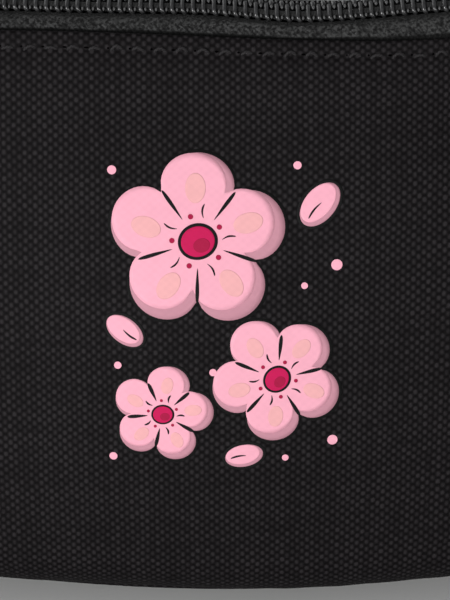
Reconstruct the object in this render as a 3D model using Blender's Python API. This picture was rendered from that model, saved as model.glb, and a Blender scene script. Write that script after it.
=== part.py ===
"""Zip pouch of black woven polyester, standing on its base with the zip closed.

Metres, +Z up. X runs along the zip, the front faces -Y, and the origin is on the ground
under the middle of the pouch. The pouch is hollow: two curved side panels, a base and
two end panels are separate cloth walls that meet edge to edge with a gap of 0.3 mm.
"""
import math

import bmesh
import bpy
from mathutils import Vector

# Cloth body
HALF_LENGTH = 0.098      # from the middle to the end seams
MID_DEPTH = 0.0235       # half depth at the middle
END_DEPTH = 0.0127       # half depth at the end seams
SWELL_POWER = 1.3        # above 1, the swell eases out before the end seams
FOLD_Y = 0.0077          # folded top edge of a side panel, from the zip's middle
FOLD_Z = 0.0804
TOP_LEAN = math.radians(27.0)    # how far a side panel faces up at its fold
CORNER_RADIUS = 0.009    # where the cloth turns under the base
SEAM_LEAN = math.radians(-60.0)  # where a side panel is sewn to the base
SEAM_HALF_GAP = math.radians(1.1)
BASE_FLAT = 0.030        # half length of the part of the base that lies on the ground
BASE_RISE = 0.004        # how far the base has risen at the end seams
END_CROWN = 0.0030       # bulge of an end panel
WALL = 0.0010            # cloth, coating and lining
GAP = 0.0003

# Zip
TAPE_TOP = 0.0822
TAPE_THICKNESS = 0.0007
TAPE_INNER = 0.0019      # inner edge of a tape, under the coil
TAPE_BEND = 0.0041       # where a tape starts to dip towards the fold
TAPE_FOLD = (0.00654, 0.07981)   # where it passes under the fold
TAPE_FLAP = 0.0050       # hidden length inside the pouch
TAPE_FLAP_LEAN = math.radians(10.0)
TAPE_HALF_LENGTH = 0.0950
COIL_OUTER = 0.0031
COIL_TOP = 0.0844
CHAIN_LEFT, CHAIN_RIGHT = -0.0876, 0.0857
STOP_LENGTH = 0.0024

# Slider and pull, with the slider at the closed end of the zip
SLIDER_NOSE, SLIDER_TAIL = -0.0903, -0.0783
SLIDER_SHOULDER = 0.0052         # half width at the nose
SLIDER_WAIST = 0.0047            # half width at the tail
TOP_PLATE = 0.0013
BOTTOM_PLATE = 0.0011
BOTTOM_HALF_WIDTH = 0.0039
FLANGE = (0.0034, 0.0046)        # inner and outer face of a side flange
POST = (-0.0900, -0.0882)        # wedge that parts the two coils
POST_HALF_WIDTH = 0.0015
BRIDGE_SPAN = 0.0026             # half span inside the bridge
BRIDGE_BAR = 0.0010
BRIDGE_CLEARANCE = 0.0020
BRIDGE_HALF_WIDTH = 0.0009
PULL_THICKNESS = 0.0012
PULL_LENGTH = 0.0240
PULL_EYE = 0.0048                # inner length of the eye, from the hinge axis
PULL_EYE_HALF_WIDTH = 0.0013
PULL_NECK = 0.0025               # half width beside the bridge
PULL_TIP = 0.0036                # half width near the tip

# Webbing tabs sewn over the ends of the zip
TAB_START, TAB_END = 0.0912, 0.1110
TAB_HALF_WIDTH = 0.0075
TAB_THICKNESS = 0.0024
TAB_DROOP = 0.0020

LENGTH_CELLS = 26
SIDE_CELLS = 12
CORNER_CELLS = 4
END_RINGS = 4


def half_depth(x):
    """Half depth of the pouch: one smooth swell, widest at the middle."""
    swell = max(0.0, math.cos(0.5 * math.pi * x / HALF_LENGTH)) ** SWELL_POWER
    return END_DEPTH + (MID_DEPTH - END_DEPTH) * swell


def base_height(x):
    """Height of the base: flat in the middle, rising towards the end seams."""
    past_flat = max(0.0, abs(x) - BASE_FLAT) / (HALF_LENGTH - BASE_FLAT)
    return BASE_RISE * past_flat ** 1.5


def skin(x, lean):
    """Point (y, z) of the outer skin and its outward normal, both for the side at +Y.

    lean is the angle by which the skin faces up. From TOP_LEAN to 0 it runs down an
    elliptic arc from the fold, and from 0 to -90 degrees round the base corner.
    """
    depth = half_depth(x)
    foot = base_height(x) + CORNER_RADIUS
    if lean < 0.0:
        y = depth - CORNER_RADIUS * (1.0 - math.cos(lean))
        z = foot + CORNER_RADIUS * math.sin(lean)
        return (y, z), (math.cos(lean), math.sin(lean))
    across = (depth - FOLD_Y) / (1.0 - math.cos(TOP_LEAN))
    up = (FOLD_Z - foot) / math.sin(TOP_LEAN)
    normal = Vector((up * math.cos(lean), across * math.sin(lean))).normalized()
    y = depth - across * (1.0 - math.cos(lean))
    return (y, foot + up * math.sin(lean)), (normal.x, normal.y)


def wall_pair(x, lean, side):
    """Outer and inner point of the cloth wall on the given side, -1 front or 1 back."""
    (y, z), (normal_y, normal_z) = skin(x, lean)
    outer = Vector((x, side * y, z))
    inner = Vector((x, side * (y - WALL * normal_y), z - WALL * normal_z))
    return outer, inner


def spread(start, end, cells):
    """Evenly spaced values from start to end."""
    return [start + (end - start) * i / cells for i in range(cells + 1)]


def material(name, colour, roughness, metallic=0.0):
    """Principled material with one plain colour."""
    made = bpy.data.materials.new(name)
    made.use_nodes = True
    shader = made.node_tree.nodes["Principled BSDF"]
    shader.inputs["Base Color"].default_value = (*colour, 1.0)
    shader.inputs["Roughness"].default_value = roughness
    shader.inputs["Metallic"].default_value = metallic
    return made


def add_object(name, shape, finish):
    """Turn a bmesh into a named object with its faces pointing out."""
    bmesh.ops.recalc_face_normals(shape, faces=shape.faces)
    mesh = bpy.data.meshes.new(name)
    shape.to_mesh(mesh)
    shape.free()
    made = bpy.data.objects.new(name, mesh)
    mesh.materials.append(finish)
    mesh.shade_smooth()
    mesh.set_sharp_from_angle(angle=math.radians(35.0))
    bpy.context.collection.objects.link(made)
    return made


def split_quad(shape, a, b, c, d):
    """Add a quad as two triangles along its a-c diagonal."""
    shape.faces.new((a, b, c))
    shape.faces.new((a, c, d))


def cloth_wall(name, rows, finish):
    """Closed wall from rows of (outer, inner) points, split alike on both faces."""
    shape = bmesh.new()
    grid = [[[shape.verts.new(point) for point in pair] for pair in row] for row in rows]
    for row, next_row in zip(grid, grid[1:]):
        for k in range(len(row) - 1):
            for face in range(2):
                split_quad(shape, row[k][face], next_row[k][face],
                           next_row[k + 1][face], row[k + 1][face])
        for k in (0, -1):
            split_quad(shape, row[k][0], next_row[k][0], next_row[k][1], row[k][1])
    for row in (grid[0], grid[-1]):
        for pair, next_pair in zip(row, row[1:]):
            split_quad(shape, pair[0], next_pair[0], next_pair[1], pair[1])
    return add_object(name, shape, finish)


def bar_along_x(name, outline, x_start, x_end, finish):
    """Straight bar along X whose section is the closed outline of (y, z) points."""
    shape = bmesh.new()
    ends = [[shape.verts.new((x, y, z)) for y, z in outline] for x in (x_start, x_end)]
    for k in range(len(outline)):
        after = (k + 1) % len(outline)
        shape.faces.new((ends[0][k], ends[0][after], ends[1][after], ends[1][k]))
    shape.faces.new(ends[0])
    shape.faces.new(ends[1])
    return add_object(name, shape, finish)


def plate(name, outline, z_start, z_end, finish, bevel=0.0):
    """Flat plate from a closed outline of (x, y) points, with its edges eased."""
    shape = bmesh.new()
    ends = [[shape.verts.new((x, y, z)) for x, y in outline] for z in (z_start, z_end)]
    for k in range(len(outline)):
        after = (k + 1) % len(outline)
        shape.faces.new((ends[0][k], ends[0][after], ends[1][after], ends[1][k]))
    rims = [shape.faces.new(ends[0]), shape.faces.new(ends[1])]
    if bevel:
        edges = [edge for rim in rims for edge in rim.edges]
        bmesh.ops.bevel(shape, geom=edges, offset=bevel, segments=2, affect="EDGES")
    return add_object(name, shape, finish)


def rounded_outline(corners, radius, steps=3):
    """Round each corner of a closed (x, y) outline with an arc-like quadratic curve."""
    points = []
    count = len(corners)
    for k, corner in enumerate(corners):
        here = Vector(corner)
        before = (Vector(corners[k - 1]) - here).normalized() * radius
        after = (Vector(corners[(k + 1) % count]) - here).normalized() * radius
        for t in spread(0.0, 1.0, steps):
            points.append(here + before * (1.0 - t) ** 2 + after * t ** 2)
    return [(point.x, point.y) for point in points]


def fuse(name, pieces, finish, cutters=(), solver="EXACT"):
    """Union of closed pieces, less the cutters, as one new object."""
    body = pieces[0]
    for tool in [*pieces[1:], *cutters]:
        joint = body.modifiers.new(tool.name, "BOOLEAN")
        joint.operation = "DIFFERENCE" if tool in cutters else "UNION"
        joint.object = tool
        joint.solver = solver
    bpy.context.view_layer.update()
    evaluated = body.evaluated_get(bpy.context.evaluated_depsgraph_get())
    shape = bmesh.new()
    shape.from_mesh(evaluated.to_mesh())
    evaluated.to_mesh_clear()
    for used in [*pieces, *cutters]:
        bpy.data.objects.remove(used)
    return add_object(name, shape, finish)


def side_panel(name, side, finish):
    """Front or back panel, from its folded top edge round the corner to the base seam."""
    leans = spread(TOP_LEAN, 0.0, SIDE_CELLS)
    leans += spread(0.0, SEAM_LEAN + SEAM_HALF_GAP, CORNER_CELLS)[1:]
    rows = [[wall_pair(x, lean, side) for lean in leans]
            for x in spread(-HALF_LENGTH, HALF_LENGTH, LENGTH_CELLS)]
    cloth_wall(name, rows, finish)


def base_panel(finish):
    """Base, from seam to seam, with the last of each corner turn on its edges."""
    turn = spread(SEAM_LEAN - SEAM_HALF_GAP, -math.pi / 2.0, CORNER_CELLS // 2)
    rows = []
    for x in spread(-HALF_LENGTH, HALF_LENGTH, LENGTH_CELLS):
        front = [wall_pair(x, lean, -1) for lean in turn]
        back = [wall_pair(x, lean, 1) for lean in reversed(turn)]
        middle = [tuple(a.lerp(b, t) for a, b in zip(front[-1], back[0]))
                  for t in (0.25, 0.5, 0.75)]
        rows.append(front + middle + back)
    cloth_wall("base_panel", rows, finish)


def end_panel(name, side, finish):
    """Domed end wall whose outline is the section of body and tapes at the end seam."""
    leans = spread(TOP_LEAN, 0.0, 8) + spread(0.0, -math.pi / 2.0, 6)[1:]
    half = [skin(HALF_LENGTH, lean)[0] for lean in leans]
    half = [(TAPE_BEND / 2.0, TAPE_TOP), (TAPE_BEND, TAPE_TOP), *half]
    outline = [(0.0, TAPE_TOP), *half, (0.0, half[-1][1])]
    outline += [(-y, z) for y, z in reversed(half)]
    middle_z = (outline[0][1] + half[-1][1]) / 2.0
    seam_x = HALF_LENGTH + GAP
    shape = bmesh.new()
    faces = []
    for depth in (WALL, 0.0):
        rings = []
        for ring in range(1, END_RINGS + 1):
            share = ring / END_RINGS
            x = seam_x + depth + END_CROWN * (1.0 - share ** 2)
            rings.append([shape.verts.new((side * x, y * share,
                                           middle_z + (z - middle_z) * share))
                          for y, z in outline])
        crown_x = seam_x + depth + END_CROWN
        faces.append((shape.verts.new((side * crown_x, 0.0, middle_z)), rings))
    count = len(outline)
    for centre, rings in faces:
        for k in range(count):
            after = (k + 1) % count
            shape.faces.new((centre, rings[0][k], rings[0][after]))
            for ring, outer in zip(rings, rings[1:]):
                split_quad(shape, ring[k], outer[k], outer[after], ring[after])
    outer_rim, inner_rim = faces[0][1][-1], faces[1][1][-1]
    for k in range(count):
        after = (k + 1) % count
        split_quad(shape, outer_rim[k], inner_rim[k], inner_rim[after], outer_rim[after])
    add_object(name, shape, finish)


def offset_polyline(points, distance):
    """The polyline moved sideways by a distance, with mitred corners."""
    moved = []
    for k, point in enumerate(points):
        here = Vector(point)
        runs = [(Vector(points[n + 1]) - Vector(points[n])).normalized()
                for n in (k - 1, k) if 0 <= n < len(points) - 1]
        normals = [Vector((run.y, -run.x)) for run in runs]
        mitre = sum(normals, Vector((0.0, 0.0))).normalized()
        moved.append(here + mitre * (distance / mitre.dot(normals[0])))
    return [(point.x, point.y) for point in moved]


def zip_tape(name, side, finish):
    """Woven tape: flat under the coil, dipping to the fold, then inside the pouch."""
    fold_y, fold_z = TAPE_FOLD
    flap_end = (fold_y + TAPE_FLAP * math.sin(TAPE_FLAP_LEAN),
                fold_z - TAPE_FLAP * math.cos(TAPE_FLAP_LEAN))
    top = [(TAPE_INNER, TAPE_TOP), (TAPE_BEND, TAPE_TOP), TAPE_FOLD, flap_end]
    outline = top + offset_polyline(top, TAPE_THICKNESS)[::-1]
    bar_along_x(name, [(side * y, z) for y, z in outline],
                -TAPE_HALF_LENGTH, TAPE_HALF_LENGTH, finish)


def coil(name, side, finish):
    """One half of the closed chain, as the rounded bar that its turns fill."""
    low = TAPE_TOP + GAP
    inner = GAP / 2.0
    middle_z = (low + COIL_TOP) / 2.0
    radius = (COIL_TOP - low) / 2.0
    outline = [(inner, low), (COIL_OUTER - radius, low)]
    for angle in spread(-math.pi / 2.0, math.pi / 2.0, 6)[1:-1]:
        outline.append((COIL_OUTER - radius + radius * math.cos(angle),
                        middle_z + radius * math.sin(angle)))
    outline += [(COIL_OUTER - radius, COIL_TOP), (inner, COIL_TOP)]
    bar_along_x(name, [(side * y, z) for y, z in outline], CHAIN_LEFT, CHAIN_RIGHT, finish)


def zip_stop(finish):
    """Clamped metal stop across both coils at the open end."""
    start = CHAIN_RIGHT + GAP
    corners = [(start, -COIL_OUTER), (start + STOP_LENGTH, -COIL_OUTER),
               (start + STOP_LENGTH, COIL_OUTER), (start, COIL_OUTER)]
    plate("zip_stop", rounded_outline(corners, 0.0006), TAPE_TOP + GAP,
          COIL_TOP + GAP, finish, bevel=0.0003)


def box(name, low, high, finish):
    """Plain block between two corners, used to build up the slider."""
    corners = [(low[0], low[1]), (high[0], low[1]), (high[0], high[1]), (low[0], high[1])]
    return plate(name, corners, low[2], high[2], finish)


def shield_outline(half_nose, half_tail, radius):
    """Outline of a slider plate, wide at the nose and narrower at the tail."""
    shoulder_x = SLIDER_NOSE + 0.4 * (SLIDER_TAIL - SLIDER_NOSE)
    corners = [(SLIDER_NOSE, -0.62 * half_nose), (shoulder_x, -half_nose),
               (SLIDER_TAIL, -half_tail), (SLIDER_TAIL, half_tail),
               (shoulder_x, half_nose), (SLIDER_NOSE, 0.62 * half_nose)]
    return rounded_outline(corners, radius)


def slider(finish):
    """Cast slider: two plates, a wedge between them, side flanges and the pull's bridge."""
    under_top = COIL_TOP + GAP
    top = under_top + TOP_PLATE
    bottom_top = TAPE_TOP - TAPE_THICKNESS - GAP
    sunk = 0.0004
    pieces = [
        plate("top", shield_outline(SLIDER_SHOULDER, SLIDER_WAIST, 0.0012),
              under_top, top, finish, bevel=0.0003),
        plate("bottom", shield_outline(BOTTOM_HALF_WIDTH, BOTTOM_HALF_WIDTH - 0.0003, 0.0010),
              bottom_top - BOTTOM_PLATE, bottom_top, finish, bevel=0.0003),
        box("post", (POST[0], -POST_HALF_WIDTH, bottom_top - sunk),
            (POST[1], POST_HALF_WIDTH, under_top + sunk), finish),
    ]
    for side in (-1, 1):
        faces = sorted(side * y for y in FLANGE)
        pieces.append(box("flange", (SLIDER_NOSE + 0.0045, faces[0], TAPE_TOP + GAP),
                          (SLIDER_TAIL - 0.0006, faces[1], under_top + sunk), finish))
    pieces.append(bridge(top - sunk, finish))
    fuse("slider", pieces, finish)


def bridge(low, finish):
    """Arch along the slider's top, open underneath for the pull's cross bar."""
    middle = (SLIDER_NOSE + SLIDER_TAIL) / 2.0
    top = low + BRIDGE_CLEARANCE + 0.0004
    shape = bmesh.new()
    outline = []
    for reach, height, turn in ((BRIDGE_SPAN + BRIDGE_BAR, top + BRIDGE_BAR, 1),
                                (BRIDGE_SPAN, top, -1)):
        ease = 0.0012
        half = [(reach, low)]
        for angle in spread(0.0, math.pi / 2.0, 4):
            half.append((reach - ease + ease * math.cos(angle),
                         height - ease + ease * math.sin(angle)))
        arch = half + [(-x, z) for x, z in reversed(half)]
        outline += arch[::turn]
    ends = [[shape.verts.new((middle + x, y, z)) for x, z in outline]
            for y in (-BRIDGE_HALF_WIDTH, BRIDGE_HALF_WIDTH)]
    count = len(outline)
    for k in range(count):
        after = (k + 1) % count
        shape.faces.new((ends[0][k], ends[0][after], ends[1][after], ends[1][k]))
    shape.faces.new(ends[0])
    shape.faces.new(ends[1])
    return add_object("bridge", shape, finish)


def pull(finish):
    """Flat metal pull lying along the chain, its eye round the slider's bridge."""
    axis_x = (SLIDER_NOSE + SLIDER_TAIL) / 2.0
    axis_z = COIL_TOP + GAP + TOP_PLATE + BRIDGE_CLEARANCE / 2.0
    half = PULL_THICKNESS / 2.0
    corners = [(axis_x - half, -PULL_NECK), (axis_x + PULL_EYE, -PULL_NECK),
               (axis_x + PULL_LENGTH, -PULL_TIP), (axis_x + PULL_LENGTH, PULL_TIP),
               (axis_x + PULL_EYE, PULL_NECK), (axis_x - half, PULL_NECK)]
    tongue = plate("tongue", rounded_outline(corners, 0.0014, steps=4), axis_z - half,
                   axis_z + half, finish, bevel=0.0002)
    eye = box("eye", (axis_x + half, -PULL_EYE_HALF_WIDTH, axis_z - 2.0 * half),
              (axis_x + PULL_EYE, PULL_EYE_HALF_WIDTH, axis_z + 2.0 * half), finish)
    fuse("pull", [tongue], finish, cutters=[eye], solver="MANIFOLD")


def tab(name, side, finish):
    """Folded webbing sewn over the zip's end, drooping a little past the end seam."""
    low = TAPE_TOP + GAP
    rows = []
    for share in spread(0.0, 1.0, 12):
        x = TAB_START + (TAB_END - TAB_START) * share
        past_seam = max(0.0, x - HALF_LENGTH) / (TAB_END - HALF_LENGTH)
        droop = TAB_DROOP * past_seam ** 2
        nose = min(1.0, (TAB_END - x) / (TAB_THICKNESS / 2.0))
        half = TAB_THICKNESS / 2.0 * max(0.35, math.sqrt(1.0 - (1.0 - nose) ** 2))
        middle = low + TAB_THICKNESS / 2.0 - droop
        rows.append([(Vector((side * x, y, middle + half)), Vector((side * x, y, middle - half)))
                     for y in spread(-TAB_HALF_WIDTH, TAB_HALF_WIDTH, 4)])
    cloth_wall(name, rows, finish)


def build_pouch():
    """Make every piece of the pouch."""
    canvas = material("black canvas", (0.012, 0.011, 0.012), 0.85)
    end_canvas = material("black end canvas", (0.013, 0.012, 0.013), 0.85)
    tape = material("black zip tape", (0.022, 0.022, 0.023), 0.8)
    nylon = material("black nylon coil", (0.035, 0.035, 0.036), 0.4)
    metal = material("black painted metal", (0.02, 0.02, 0.021), 0.35, 0.6)
    webbing = material("black webbing", (0.016, 0.016, 0.017), 0.8)

    for place, side in (("front", -1), ("back", 1)):
        side_panel(f"{place}_panel", side, canvas)
        zip_tape(f"zip_tape_{place}", side, tape)
        coil(f"coil_{place}", side, nylon)
    base_panel(canvas)
    for place, side in (("left", -1), ("right", 1)):
        end_panel(f"end_panel_{place}", side, end_canvas)
        tab(f"tab_{place}", side, webbing)
    zip_stop(metal)
    slider(metal)
    pull(metal)


for old in list(bpy.data.objects):
    bpy.data.objects.remove(old)
build_pouch()
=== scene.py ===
import math

import bpy
import numpy as np
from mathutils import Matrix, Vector


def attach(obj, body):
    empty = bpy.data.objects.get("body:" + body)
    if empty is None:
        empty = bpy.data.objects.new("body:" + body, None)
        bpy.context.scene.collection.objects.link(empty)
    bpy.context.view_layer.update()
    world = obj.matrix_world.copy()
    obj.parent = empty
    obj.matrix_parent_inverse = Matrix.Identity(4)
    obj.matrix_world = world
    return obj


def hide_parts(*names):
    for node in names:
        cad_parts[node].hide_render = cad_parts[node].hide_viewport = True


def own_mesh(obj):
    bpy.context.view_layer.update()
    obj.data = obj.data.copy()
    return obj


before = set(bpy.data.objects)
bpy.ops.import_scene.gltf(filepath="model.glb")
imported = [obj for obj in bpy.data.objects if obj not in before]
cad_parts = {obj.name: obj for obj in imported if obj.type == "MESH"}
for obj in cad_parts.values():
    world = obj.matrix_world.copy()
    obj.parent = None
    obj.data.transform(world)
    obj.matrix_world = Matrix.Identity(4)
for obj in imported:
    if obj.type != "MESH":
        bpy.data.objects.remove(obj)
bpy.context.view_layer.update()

MM = 0.001

# Camera, studio light and floor.
# The view looks down a little on the front from close by. A broad soft light stands at
# the left, a weak one at the right and two behind, over a pale floor.
VIEW_RISE = math.radians(25.0)
VIEW_DISTANCE = 0.300
VIEW_AIM = (0.0, -0.0200, 0.0472)
VIEW_HEIGHT = 0.080          # what the long side of the picture covers
SENSOR = 36.0


def placed(name, data):
    """New object from its data, linked into the scene."""
    made = bpy.data.objects.new(name, data)
    bpy.context.collection.objects.link(made)
    return made


to_camera = np.array([0.0, -math.cos(VIEW_RISE), math.sin(VIEW_RISE)])
lens = bpy.data.cameras.new("camera")
lens.lens = SENSOR * VIEW_DISTANCE / VIEW_HEIGHT
lens.sensor_width = SENSOR
lens.clip_start = 0.01
camera = placed("camera", lens)
camera.location = np.array(VIEW_AIM) + VIEW_DISTANCE * to_camera
camera.rotation_euler = (math.pi / 2.0 - VIEW_RISE, 0.0, 0.0)
bpy.context.scene.camera = camera
bpy.context.scene.view_settings.view_transform = "Standard"


def soft_light(name, place, aim_height, size, watts):
    """Square area light that shines at a height above the middle of the floor."""
    lamp = bpy.data.lights.new(name, "AREA")
    lamp.size = size
    lamp.energy = watts
    made = placed(name, lamp)
    made.location = place
    aim = Vector((0.0, 0.0, aim_height)) - Vector(place)
    made.rotation_euler = aim.to_track_quat("-Z", "Y").to_euler()


soft_light("key_light", (-1.24, -1.96, 0.44), 0.04, 0.90, 57.0)
soft_light("fill_light", (1.68, -1.52, 0.24), 0.04, 0.24, 9.6)
soft_light("back_light", (-1.10, 1.00, 0.80), 0.05, 1.50, 5.0)
soft_light("low_back_light", (-1.95, 1.20, 0.30), 0.04, 0.80, 45.0)

world = bpy.data.worlds.new("studio")
world.use_nodes = True
sky = world.node_tree.nodes["Background"]
sky.inputs["Color"].default_value = (0.92, 0.93, 0.95, 1.0)
sky.inputs["Strength"].default_value = 0.24
bpy.context.scene.world = world


class Graph:
    """Short names for the few shader nodes that the finishes are wired from."""

    def __init__(self, name):
        self.finish = bpy.data.materials.new(name)
        self.finish.use_nodes = True
        self.tree = self.finish.node_tree
        self.shader = self.tree.nodes["Principled BSDF"]

    def feed(self, socket, value):
        """Link an output into a socket, or set the number or colour on it."""
        if isinstance(value, bpy.types.NodeSocket):
            self.tree.links.new(value, socket)
        elif isinstance(value, tuple):
            socket.default_value[:3] = value
        else:
            socket.default_value = value

    def node(self, kind, values=(), **settings):
        """New node of a kind with its settings made and its first sockets fed."""
        made = self.tree.nodes.new(kind)
        for key, value in settings.items():
            setattr(made, key, value)
        for socket, value in zip(made.inputs, values):
            self.feed(socket, value)
        return made

    def calc(self, operation, *values):
        """Math node on one to three values."""
        return self.node("ShaderNodeMath", values, operation=operation).outputs[0]

    def times(self, product, *others):
        """Product of two or more values."""
        for each in others:
            product = self.calc("MULTIPLY", product, each)
        return product

    def plus(self, value, factor, more):
        """A value times a factor, plus more."""
        return self.calc("MULTIPLY_ADD", value, factor, more)

    def sine(self, value, rate):
        """Sine of a value times a rate."""
        return self.calc("SINE", self.times(value, rate))

    def ease(self, value, low, high, to_low=0.0, to_high=1.0):
        """Smooth step of a value from one range to another."""
        return self.node("ShaderNodeMapRange", (value, low, high, to_low, to_high),
                         interpolation_type="SMOOTHSTEP").outputs[0]

    def noise(self, vector, scale, detail=2.0, roughness=0.5):
        """Fractal noise between 0 and 1 at a vector."""
        made = self.node("ShaderNodeTexNoise", (vector, 0.0, scale, detail, roughness))
        return made.outputs["Fac"]

    def pack(self, x, y):
        """Flat vector from two values."""
        return self.node("ShaderNodeCombineXYZ", (x, y)).outputs[0]

    def random(self, x, y):
        """Random value between 0 and 1 of the unit square that holds two values."""
        corner = self.pack(self.calc("FLOOR", x), self.calc("FLOOR", y))
        made = self.node("ShaderNodeTexWhiteNoise", (corner,), noise_dimensions="2D")
        return made.outputs["Value"]

    def tint(self, share, first, second):
        """Colour between two colours, by a share."""
        made = self.node("ShaderNodeMix", (share,), data_type="RGBA")
        self.feed(made.inputs[6], first)
        self.feed(made.inputs[7], second)
        return made.outputs[2]

    def scale_tint(self, colour, factor):
        """Colour times a grey factor."""
        made = self.node("ShaderNodeVectorMath", (colour,), operation="SCALE")
        self.feed(made.inputs["Scale"], factor)
        return made.outputs[0]

    def bump(self, height, distance, strength):
        """Bump from a height, linked to the shader's normal."""
        made = self.node("ShaderNodeBump", (strength, distance))
        self.feed(made.inputs["Height"], height)
        self.feed(self.shader.inputs["Normal"], made.outputs[0])

    def surface(self, colour, roughness, **fixed):
        """Base colour and roughness, and fixed numbers on other sockets of the shader."""
        for key, value in {"Base_Color": colour, "Roughness": roughness, **fixed}.items():
            self.feed(self.shader.inputs[key.replace("_", " ")], value)
        return self.finish

    def across(self):
        """The two coordinates of the piece's own map, in metres."""
        source = self.node("ShaderNodeUVMap", uv_map="UVMap")
        parts = self.node("ShaderNodeSeparateXYZ", (source.outputs[0],))
        return parts.outputs[0], parts.outputs[1]

    def place(self):
        """Object coordinates."""
        return self.node("ShaderNodeTexCoord").outputs["Object"]


FLOOR_SIZE = 3.0
floor_mesh = bpy.data.meshes.new("floor")
floor_mesh.from_pydata([(x * FLOOR_SIZE, y * FLOOR_SIZE, 0.0)
                        for x, y in ((-1, -1), (1, -1), (1, 1), (-1, 1))], [], [(0, 1, 2, 3)])
floor_mesh.materials.append(Graph("pale floor").surface((0.80, 0.80, 0.79), 0.9))
floor = placed("floor", floor_mesh)

# Black canvas.
# Plain weave of thick textured polyester yarn, dyed black and coated behind: each yarn
# passes over and under, so light floats stand in a checkerboard between dark gaps.
WARP_PITCH = 0.69 * MM
WEFT_PITCH = 0.595 * MM


def canvas_finish():
    """Plain weave from the product of two sines, one across each set of yarns.

    The floats of the warp are light. The square of the sine across the warp is added, more
    of it where the other sine is small, so that floats are tall and the gaps flat dashes.
    The rows of weft rise a little to the right, more or less so along a slow cosine.
    """
    g = Graph("black canvas")
    u, v = g.across()
    swing = g.calc("COSINE", g.calc("DIVIDE", u, 25.0 * MM))
    row = g.plus(swing, -1.0 * MM, g.plus(u, 0.06, v))
    wander = g.calc("SUBTRACT", g.noise(g.place(), 260.0), 0.5)
    warp = g.plus(wander, 0.55, g.calc("DIVIDE", u, WARP_PITCH))
    weft = g.plus(wander, 0.55, g.calc("DIVIDE", row, WEFT_PITCH))
    across, along = g.sine(warp, math.pi), g.sine(weft, math.pi)
    tall = g.plus(g.times(along, along), -0.10, 0.66)
    float_up = g.plus(g.times(across, across), tall, g.times(across, along, -1.0))
    strands = g.ease(g.noise(g.pack(u, g.times(v, 0.25)), 9000.0), 0.3, 0.7, 0.85, 1.15)
    mottle = g.ease(g.noise(g.place(), 900.0, 3.0, 0.65), 0.3, 0.7, 0.80, 1.20)
    light = g.times(g.ease(float_up, -0.65, 1.85),
                    g.ease(g.random(warp, 3.0), 0.0, 1.0, 0.86, 1.14),
                    g.ease(g.random(weft, 11.0), 0.0, 1.0, 0.86, 1.14),
                    g.ease(g.random(warp, weft), 0.0, 1.0, 0.80, 1.18), strands, mottle)
    colour = g.tint(light, (0.0006, 0.0001, 0.0004), (0.0190, 0.0168, 0.0181))
    g.bump(g.plus(strands, 0.10, float_up), 0.05 * MM, 0.6)
    return g.surface(colour, 0.75, Specular_IOR_Level=0.10)


canvas = canvas_finish()

# Cloth walls of the body.
# Front and back panels are cut from the canvas, turned in along the zip, stitched down
# near the fold, and run over a soft corner to the seam with the base.
HALF_LENGTH = 98.0 * MM
MID_DEPTH = 23.5 * MM
END_DEPTH = 12.7 * MM
SWELL_POWER = 1.3
FOLD_Y, FOLD_Z = 7.7 * MM, 80.4 * MM
TOP_LEAN = math.radians(27.0)
CORNER_RADIUS = 9.0 * MM
SEAM_LEAN = math.radians(-60.0)
BASE_FLAT = 30.0 * MM
BASE_RISE = 4.0 * MM
WALL = 1.0 * MM
STITCH_PITCH = 2.87 * MM
STITCH_DROP = 1.95 * MM      # the stitch row, below the fold
HEM = 7.5 * MM               # turned-in cloth behind the fold
GRAIN_SKEW = -0.03           # the cut is slightly off the weave
DENT = 2.6 * MM              # soft hollow at the top right of the front
TUCK = 2.6 * MM              # how far the lower corners draw in between middle and ends
FOLD_DIP = 1.55 * MM         # how far the front fold sags
BACK_DIP_SHARE = 0.4         # the back fold sags less
BELLY = 0.9 * MM


def skin(x, lean):
    """Point (y, z) and outward normal of the plain body at +Y.

    The half depth swells as a power of a cosine along x. A positive lean runs down an
    ellipse from the fold, and a negative one round the circle of the base corner.
    """
    swell = np.maximum(0.0, np.cos(0.5 * np.pi * x / HALF_LENGTH)) ** SWELL_POWER
    depth = END_DEPTH + (MID_DEPTH - END_DEPTH) * swell
    past = np.maximum(0.0, np.abs(x) - BASE_FLAT) / (HALF_LENGTH - BASE_FLAT)
    foot = BASE_RISE * past ** 1.5 + CORNER_RADIUS
    across = (depth - FOLD_Y) / (1.0 - math.cos(TOP_LEAN))
    up = (FOLD_Z - foot) / math.sin(TOP_LEAN)
    high = lean >= 0.0
    across = np.where(high, across, CORNER_RADIUS)
    up = np.where(high, up, CORNER_RADIUS)
    y = depth - across * (1.0 - np.cos(lean))
    z = foot + up * np.sin(lean)
    normal_y, normal_z = up * np.cos(lean), across * np.sin(lean)
    size = np.hypot(normal_y, normal_z)
    return y, z, normal_y / size, normal_z / size


def run_length(*coordinates):
    """Length run along a line up to each of its points."""
    return np.concatenate([[0.0], np.cumsum(np.hypot(*np.diff(coordinates)))])


LEAN_STEPS = np.concatenate([np.linspace(TOP_LEAN, 0.0, 400),
                             np.linspace(0.0, -math.pi / 2.0, 200)[1:]])
LENGTH_STEPS = run_length(*skin(0.0, LEAN_STEPS)[:2])
SEAM_LENGTH = float(np.interp(-SEAM_LEAN, -LEAN_STEPS, LENGTH_STEPS))


def hump(x, width):
    """Bell curve of a distance, 1 at nought."""
    return np.exp(-(x / width) ** 2)


def bell(x, middle, left, right):
    """Bell curve about a middle, with its own width on each side."""
    return hump(x - middle, np.where(x < middle, left, right))


def ramp(x, place, width):
    """Soft step from 0 to 1 at a place, or from 1 to 0 where the width is negative."""
    return 1.0 / (1.0 + np.exp(-(x - place) / width))


def arch(share, power=1.0):
    """Half a sine over a share from 0 to 1, fuller where the power is below 1."""
    return np.sin(math.pi * share) ** power


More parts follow.
